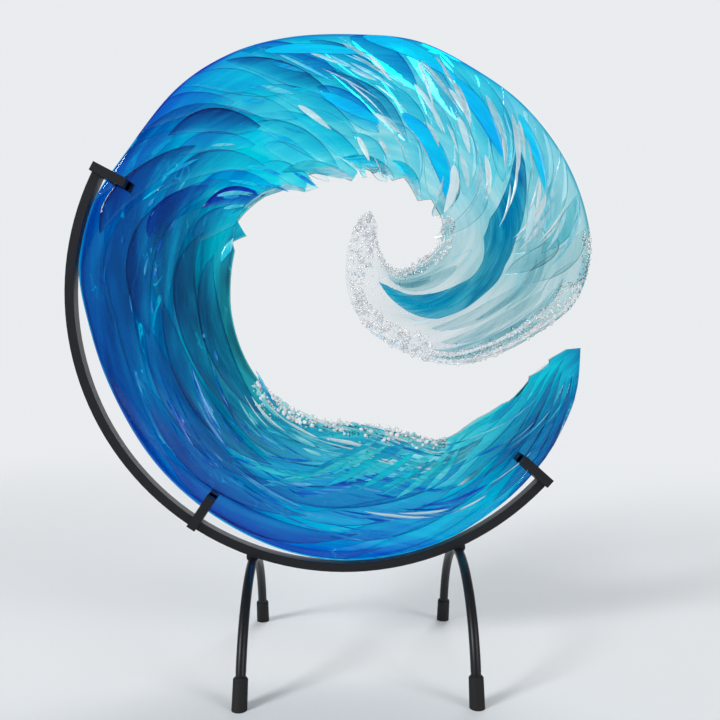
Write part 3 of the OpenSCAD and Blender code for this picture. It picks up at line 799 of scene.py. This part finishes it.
random.seed(45)
cut = new_cut()
for first, final, t0, t1, half in LIP_LEAVES:
    blade_piece(cut, first, final, drooping(first, final, t0, t1), half, 1,
                lambda u, v: mix(LIP_CYAN, LIP_WHITE, min(1, max(0, 1.6 * u - 0.75 - 0.3 * v))),
                LEAF_GRID)
for first, final, t0, t1, half in TAIL_LENSES:
    blade_piece(cut, first, final, slanting(first, final, t0, t1), half, 1,
                lambda u, v: mix(LENS_AQUA, LENS_WHITE, max(0, 2 * u - 1)), LEAF_GRID)
# Painted highlights: thin pale lines of milky glass beside the lip.
for first, final in LIP_HIGHLIGHT_LINES:
    blade_piece(cut, first, final, lambda a: look_up(LIP, a) + LINE_ASIDE, LINE_HALF, 1,
                lambda u, v: mix(LIP_CYAN, LIP_WHITE, 0.2 + 0.6 * u), LINE_GRID)
leaves = finish_cut(cut, "lip_leaves_and_lens", milky_glass)
print("leaves and lens:", len(leaves.data.polygons), "faces")

# %% [markdown]
# ## The curl
#
# In the curl the wave thins out. One long teal piece follows it round to the hook, and narrow strips
# of clear glass lie beside it and run out one after another, which gives the curl its lines. A thin
# milky line follows the rim and another the lip.

# %% Lay the crescent and the strips
# First and last station, share across and half width.
WIDE_STRIPS = [(25.98, 29, 0.62, 0.06), (25.98, 29, 0.765, 0.06), (26.2, 29.6, 0.19, 0.055)]
EDGE_LINES = [(25.2, 30.8, 0.975, 0.014), (24.4, 28.6, 0.02, 0.012)]
NARROW_STRIPS = 16
STRIP_EDGE = 0.15 * MM
STRIP_WHITES = (srgb(235, 243, 245), srgb(215, 234, 238), srgb(195, 224, 230))
CRESCENT_DEEP, CRESCENT_PALE = srgb(10, 165, 205), srgb(120, 205, 218)


def crescent_place(u, v):
    a = CRESCENT[0][0] + (CRESCENT[-1][0] - CRESCENT[0][0]) * u
    return a, look_up(CRESCENT, a) + v * look_up(CRESCENT, a, 2)


def crescent_tint(u, v):
    """Paler towards both sides and once along the way."""
    light = 0.5 * abs(v) ** 2 + 0.35 * math.exp(-((u - 0.42) / 0.12) ** 2)
    return mix(CRESCENT_DEEP, CRESCENT_PALE, min(1, light))


def long_piece(cut, first, final, t, half, colour, rise=1.0 * MM):
    """A long crowned strip at the share t. rise is the height of its crown."""
    back = glass_front - random.uniform(0.05, 0.5) * MM

    def place(u, v):
        return first + (final - first) * u, squeeze(t, half * math.sin(math.pi * u) ** 0.6, v, 0.015)

    def crown(u, v):
        return back, back - STRIP_EDGE - rise * math.sin(math.pi * u) ** 0.6 * (1 - abs(v) ** 2.4)

    add_piece(cut, int(12 + 8 * (final - first)), 6, place, lambda u, v: colour, crown)


random.seed(21)
cut = new_cut()
add_piece(cut, 90, 10, crescent_place, crescent_tint,
          lambda u, v: (glass_front - 0.1 * MM, glass_front - (0.3 + 1.5 * (1 - v * v)) * MM))
crescent = finish_cut(cut, "teal_crescent", under_glass)
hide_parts("curl_crescent")

cut = new_cut()
for strip in WIDE_STRIPS:
    long_piece(cut, *strip, srgb(218, 234, 237))
for k in range(NARROW_STRIPS):
    first, t = random.choice(((random.uniform(24.8, 27.5), random.uniform(0.6, 0.93)),
                              (random.uniform(25.9, 27.5), random.uniform(0.06, 0.2))))
    colour = random.choice(STRIP_WHITES)
    long_piece(cut, first, first + random.uniform(1.5, 3.5), t, random.uniform(0.012, 0.03), colour)
strips = finish_cut(cut, "curl_clear_strips", under_glass)
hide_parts("curl_strips")
cut = new_cut()
for edge_line in EDGE_LINES:
    long_piece(cut, *edge_line, srgb(240, 247, 250))
finish_cut(cut, "curl_edge_lines", milky_glass)
print("crescent and strips:", len(crescent.data.polygons), len(strips.data.polygons))

# %% [markdown]
# ## The foam
#
# Foam is crushed clear glass, strewn thick along an edge before firing. It melts to beads that just
# touch. Each bead is a small ball of a few dozen faces, squashed, turned and sunk into what carries it.
# The foam of the curl is clear and only a little milky. In the trough it is whiter and lies in a heap.

# %% Strew the foam
HANDFUL = 40
# Beads larger than this are rounder.
LARGE_BEAD = 0.8 * MM


def add_bead(cut, at, size, colour):
    """One bead, a little longer one way, turned by chance and flat towards the back."""
    if size > LARGE_BEAD:
        ball = bmesh.ops.create_uvsphere(cut, u_segments=8, v_segments=6, radius=1)["verts"]
    else:
        ball = bmesh.ops.create_icosphere(cut, subdivisions=1, radius=1)["verts"]
    turned = Matrix.Rotation(random.uniform(0, math.tau), 4, "Y")
    tipped = Matrix.Rotation(random.uniform(-0.6, 0.6), 4, "X")
    spin = turned @ tipped
    shape = Matrix.Diagonal((size * random.uniform(0.8, 1.5), size * 0.75, size, 1))
    bmesh.ops.transform(cut, verts=ball, matrix=Matrix.Translation(at) @ spin @ shape)
    for vertex in ball:
        vertex[cut.verts.layers.float_color["tint"]] = (*colour, 1)
        vertex[cut.verts.layers.float_vector["lie"]] = vertex.co


def pour(handful, cut):
    """Adds a handful of beads to the mesh. Small meshes are quick to work on, so beads are made in
    handfuls and then poured together."""
    mesh = bpy.data.meshes.new("handful")
    handful.to_mesh(mesh)
    handful.free()
    cut.from_mesh(mesh)
    bpy.data.meshes.remove(mesh)
    return new_cut()


def foam(name, slot_node, fields, colours, seed, material, heap=0.0):
    """fields holds first station, last station, first share, last share, number of beads, least and
    most size in millimetres. heap is how high the beads are heaped, in millimetres."""
    random.seed(seed)
    cut = new_cut()
    handful = new_cut()
    for first, final, t0, t1, count, least, most in fields:
        for k in range(count):
            a, t = random.uniform(first, final), random.uniform(t0, t1)
            size = (least + (most - least) * random.random() ** 2.5) * MM
            depth = glass_front - size * 0.2 - random.uniform(0, heap) * MM
            add_bead(handful, flow(a, t, depth), size, random.choice(colours))
            if k % HANDFUL == HANDFUL - 1 or k == count - 1:
                handful = pour(handful, cut)
    handful.free()
    piece = finish_cut(cut, name, material, smooth_to=80)
    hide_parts(slot_node)
    print(name, len(piece.data.polygons), "faces")


clear_foam = glass("clear_foam", bands=0, streaks=0.1, painted_edge_shade=0, wave=0.1, ior=1.22,
                   roughness=0.15, clear=0.45)
white_foam = glass("white_foam", bands=0, streaks=0.1, painted_edge_shade=0, wave=0.1, ior=1.3,
                   roughness=0.2, clear=0.3)
WHITE = (srgb(255, 255, 255), srgb(255, 255, 255), srgb(245, 247, 250), srgb(228, 234, 240))
WATER = WHITE + WHITE + (srgb(170, 232, 240),)
foam("trough_foam", "foam_trough", [
    (4.8, 9.9, -0.02, 0.08, 640, 0.5, 1.7),
    (5.0, 9.6, 0.06, 0.14, 120, 0.4, 0.9)], WATER, 31, white_foam, heap=2.6)
foam("curl_rim_foam", "foam_curl_rim", [
    (24.4, 29.2, 0.95, 1.0, 260, 0.5, 1.5),
    (25.6, 29.2, 0.86, 0.97, 420, 0.4, 1.3)], WHITE, 32, clear_foam)
foam("hook_foam", "foam_hook", [
    (29.2, 31.6, 0.7, 1.01, 440, 0.4, 1.6),
    (31.6, 33.9, 0.05, 1.0, 420, 0.4, 1.6),
    (28.5, 31.6, 0.1, 0.85, 160, 0.35, 0.8)], WHITE, 33, clear_foam)
foam("inner_lip_foam", "foam_inner_lip", [
    (23.6, 31.6, -0.02, 0.08, 420, 0.4, 1.4)], WHITE, 34, clear_foam)

# %% [markdown]
# ## The paint of the stand
#
# The steel has a satin black paint, and the caps on its feet are dull black rubber. A fine grain in
# the surface breaks up what they reflect.

# %% Paint the stand
GRAIN_CELLS = 900
GRAIN_HIGH = 0.1 * MM


def satin(name, colour, roughness, grain):
    """Dark paint or rubber. grain is how strongly the fine grain shows."""
    material = bpy.data.materials.new(name)
    material.use_nodes = True
    tree = material.node_tree
    shader = tree.nodes["Principled BSDF"]
    place = node(tree, "ShaderNodeTexCoord")
    noise = node(tree, "ShaderNodeTexNoise")
    noise.inputs["Scale"].default_value = GRAIN_CELLS
    noise.inputs["Detail"].default_value = 3
    tree.links.new(place.outputs["Object"], noise.inputs["Vector"])
    bump = node(tree, "ShaderNodeBump")
    bump.inputs["Strength"].default_value = grain
    bump.inputs["Distance"].default_value = GRAIN_HIGH
    tree.links.new(noise.outputs["Fac"], bump.inputs["Height"])
    tree.links.new(bump.outputs["Normal"], shader.inputs["Normal"])
    shader.inputs["Base Color"].default_value = (*colour, 1)
    shader.inputs["Roughness"].default_value = roughness
    shader.inputs["Specular IOR Level"].default_value = 0.3
    return material


steel = satin("satin_black_paint", (0.006, 0.007, 0.01), roughness=0.38, grain=0.25)
rubber = satin("black_rubber", (0.01, 0.01, 0.011), roughness=0.7, grain=0.4)
stand = frame["record"]["behaviour"]["bodies"]["stand"]
for name in stand:
    nodes[name].data.materials.clear()
    nodes[name].data.materials.append(rubber if "cap" in name else steel)
print("painted", len(stand), "pieces of the stand")

# %% [markdown]
# ## Floor, backdrop and light
#
# The glass shows what is behind it, so the backdrop matters as much as the lamps. Floor and wall are
# one pale sheet with a round bend between them. Rays that come from the camera or through glass see
# the world and, away from the object, the sheet as an even pale surface. All other light treats the
# sheet as plain paint and the world as dim, so that reflections stay weak beside the colour of the
# glass.

# %% Set the stage
PALE = (0.82, 0.84, 0.86)
SOFT_WORLD = 0.32
# Near the object the floor keeps its shadow, and far from it the paper is even.
SHADOW_NEAR, SHADOW_FAR = 0.35, 1.2


def seen_directly(tree):
    """1 for a ray that shows the backdrop: from the camera or through glass."""
    rays = node(tree, "ShaderNodeLightPath")
    return maths(tree, "MAXIMUM", rays.outputs["Is Camera Ray"], rays.outputs["Is Transmission Ray"])


world = bpy.data.worlds.new("studio")
bpy.context.scene.world = world
world.use_nodes = True
tree = world.node_tree
soft = tree.nodes["Background"]
soft.inputs["Color"].default_value = (*PALE, 1)
soft.inputs["Strength"].default_value = SOFT_WORLD
bright = node(tree, "ShaderNodeBackground")
bright.inputs["Color"].default_value = (*PALE, 1)
bright.inputs["Strength"].default_value = 1
choose = node(tree, "ShaderNodeMixShader")
tree.links.new(seen_directly(tree), choose.inputs["Fac"])
tree.links.new(soft.outputs["Background"], choose.inputs[1])
tree.links.new(bright.outputs["Background"], choose.inputs[2])
tree.links.new(choose.outputs["Shader"], tree.nodes["World Output"].inputs["Surface"])

BACK_WALL, BEND, STAGE_WIDE, WALL_HIGH, FLOOR_NEAR = 1.6, 0.7, 8, 4, 5
BEND_STEPS = 16
cut = bmesh.new()
corner = cut.verts.new((-STAGE_WIDE / 2, BACK_WALL - BEND, 0))
bent = bmesh.ops.spin(cut, geom=[corner], cent=(0, BACK_WALL - BEND, BEND), axis=(1, 0, 0),
                      angle=math.radians(90), steps=BEND_STEPS)["geom_last"]
top = bmesh.ops.extrude_vert_indiv(cut, verts=[v for v in bent if isinstance(v, bmesh.types.BMVert)])
bmesh.ops.translate(cut, verts=top["verts"], vec=(0, 0, WALL_HIGH))
near = bmesh.ops.extrude_vert_indiv(cut, verts=[corner])
bmesh.ops.translate(cut, verts=near["verts"], vec=(0, -FLOOR_NEAR, 0))
swept = bmesh.ops.extrude_edge_only(cut, edges=cut.edges[:])["geom"]
bmesh.ops.translate(cut, verts=[v for v in swept if isinstance(v, bmesh.types.BMVert)],
                    vec=(STAGE_WIDE, 0, 0))
mesh = bpy.data.meshes.new("backdrop")
cut.to_mesh(mesh)
cut.free()
mesh.shade_smooth()
backdrop = bpy.data.objects.new("backdrop", mesh)
bpy.context.scene.collection.objects.link(backdrop)
paper = bpy.data.materials.new("pale_paper")
paper.use_nodes = True
tree = paper.node_tree
shader = tree.nodes["Principled BSDF"]
shader.inputs["Base Color"].default_value = (*PALE, 1)
shader.inputs["Roughness"].default_value = 0.9
even = node(tree, "ShaderNodeEmission")
even.inputs["Color"].default_value = (*PALE, 1)
place = node(tree, "ShaderNodeTexCoord")
away = node(tree, "ShaderNodeVectorMath", operation="LENGTH")
tree.links.new(place.outputs["Object"], away.inputs["Vector"])
far = remap(tree, away.outputs["Value"], SHADOW_NEAR, SHADOW_FAR, 0, 1)
choose = node(tree, "ShaderNodeMixShader")
tree.links.new(maths(tree, "MULTIPLY", seen_directly(tree), far), choose.inputs["Fac"])
tree.links.new(shader.outputs["BSDF"], choose.inputs[1])
tree.links.new(even.outputs["Emission"], choose.inputs[2])
tree.links.new(choose.outputs["Shader"], tree.nodes["Material Output"].inputs["Surface"])
mesh.materials.append(paper)


def lamp(name, place, aim, size, power):
    """A square lamp. size is in metres and power in watts."""
    light = bpy.data.lights.new(name, "AREA")
    light.size = size
    light.energy = power
    made = bpy.data.objects.new(name, light)
    made.location = place
    made.rotation_euler = (Vector(aim) - Vector(place)).to_track_quat("-Z", "Y").to_euler()
    bpy.context.scene.collection.objects.link(made)


lamp("key", (-1.6, -1.25, 1.1), (0, 0, 0.25), size=0.6, power=32)
lamp("fill", (1.4, -1.2, 0.8), (0, 0, 0.2), size=0.8, power=12)
lamp("back", (0.5, 1.2, 1.3), (0, 0, 0.1), size=0.9, power=10)

# Light passes many surfaces of glass, so it may bounce often.
scene = bpy.context.scene
scene.view_settings.view_transform = "Standard"
scene.cycles.max_bounces = 32
scene.cycles.transmission_bounces = 32
scene.cycles.transparent_max_bounces = 16
print("lamps:", [thing.name for thing in bpy.data.lights])
